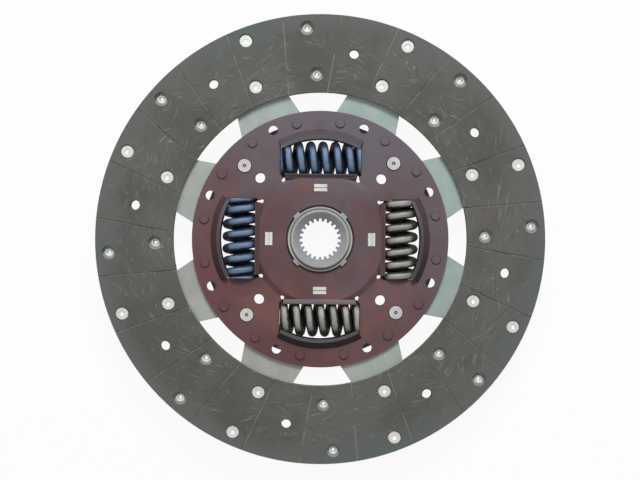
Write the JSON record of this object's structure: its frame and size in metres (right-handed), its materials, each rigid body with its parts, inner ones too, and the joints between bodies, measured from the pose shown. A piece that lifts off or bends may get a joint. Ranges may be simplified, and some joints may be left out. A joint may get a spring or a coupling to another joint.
{
  "type": "clutch disc",
  "caption": "Friction disc with riveted ring facings, spring cushion plates, a coil spring torsion damper and a splined hub.",
  "frame": {"origin": "on the hub's axis, at the hub's rear end, which the disc rests on when it lies down", "axes": "+Z along the hub's axis, out of the side with the disc plate and the raised window lips; the spring windows are centred on the X and Y axes"},
  "size_m": [0.275, 0.275, 0.03],
  "materials": {
    "facing": "matte woven friction lining",
    "facing_rivet": "satin",
    "cushion_steel": "satin, faintly green",
    "painted_steel": "satin maroon coat",
    "pin_steel": "satin",
    "hub_steel": "machined",
    "bare_spring": "satin, oiled",
    "blue_spring": "satin blue coat",
    "bush_steel": "satin",
    "friction_washer": "matte"
  },
  "bodies": {
    "disc": {"front_facing": "facing", "rear_facing": "facing", "cushion_plate_1": "cushion_steel", "cushion_plate_2": "cushion_steel", "cushion_plate_3": "cushion_steel", "cushion_plate_4": "cushion_steel", "cushion_plate_5": "cushion_steel", "cushion_plate_6": "cushion_steel", "cushion_plate_7": "cushion_steel", "cushion_plate_8": "cushion_steel", "front_facing_rivets": "facing_rivet", "rear_facing_rivets": "facing_rivet", "rim_rivets": "painted_steel", "disc_plate": "painted_steel", "retaining_plate": "painted_steel", "stop_pins": "pin_steel", "front_bush": "bush_steel", "front_washer": "friction_washer", "front_thrust_ring": "bush_steel", "rear_bush": "bush_steel", "rear_washer": "friction_washer", "rear_thrust_ring": "bush_steel", "cone_spring": "cushion_steel"},
    "hub": {"hub": "hub_steel"},
    "springs": {"spring_right": "bare_spring", "spring_top": "blue_spring", "spring_left": "blue_spring", "spring_bottom": "bare_spring"}
  },
  "joints": [
    {"name": "hub_turn", "type": "hinge", "parent": "disc", "child": "hub", "pos_m": [0, 0, 0.0172], "axis": [0, 0, 1], "range_deg": [-8.6, 11.4], "stiffness_Nm_per_rad": 1500, "deforming": ["spring_right", "spring_left", "spring_top", "spring_bottom"]},
    {"name": "spring_drift", "type": "hinge", "parent": "disc", "child": "springs", "pos_m": [0, 0, 0.0172], "axis": [0, 0, 1], "range_deg": [-4.3, 5.7]}
  ],
  "couplings": [
    {"joint": "spring_drift", "follows": "hub_turn", "ratio": 0.5}
  ]
}
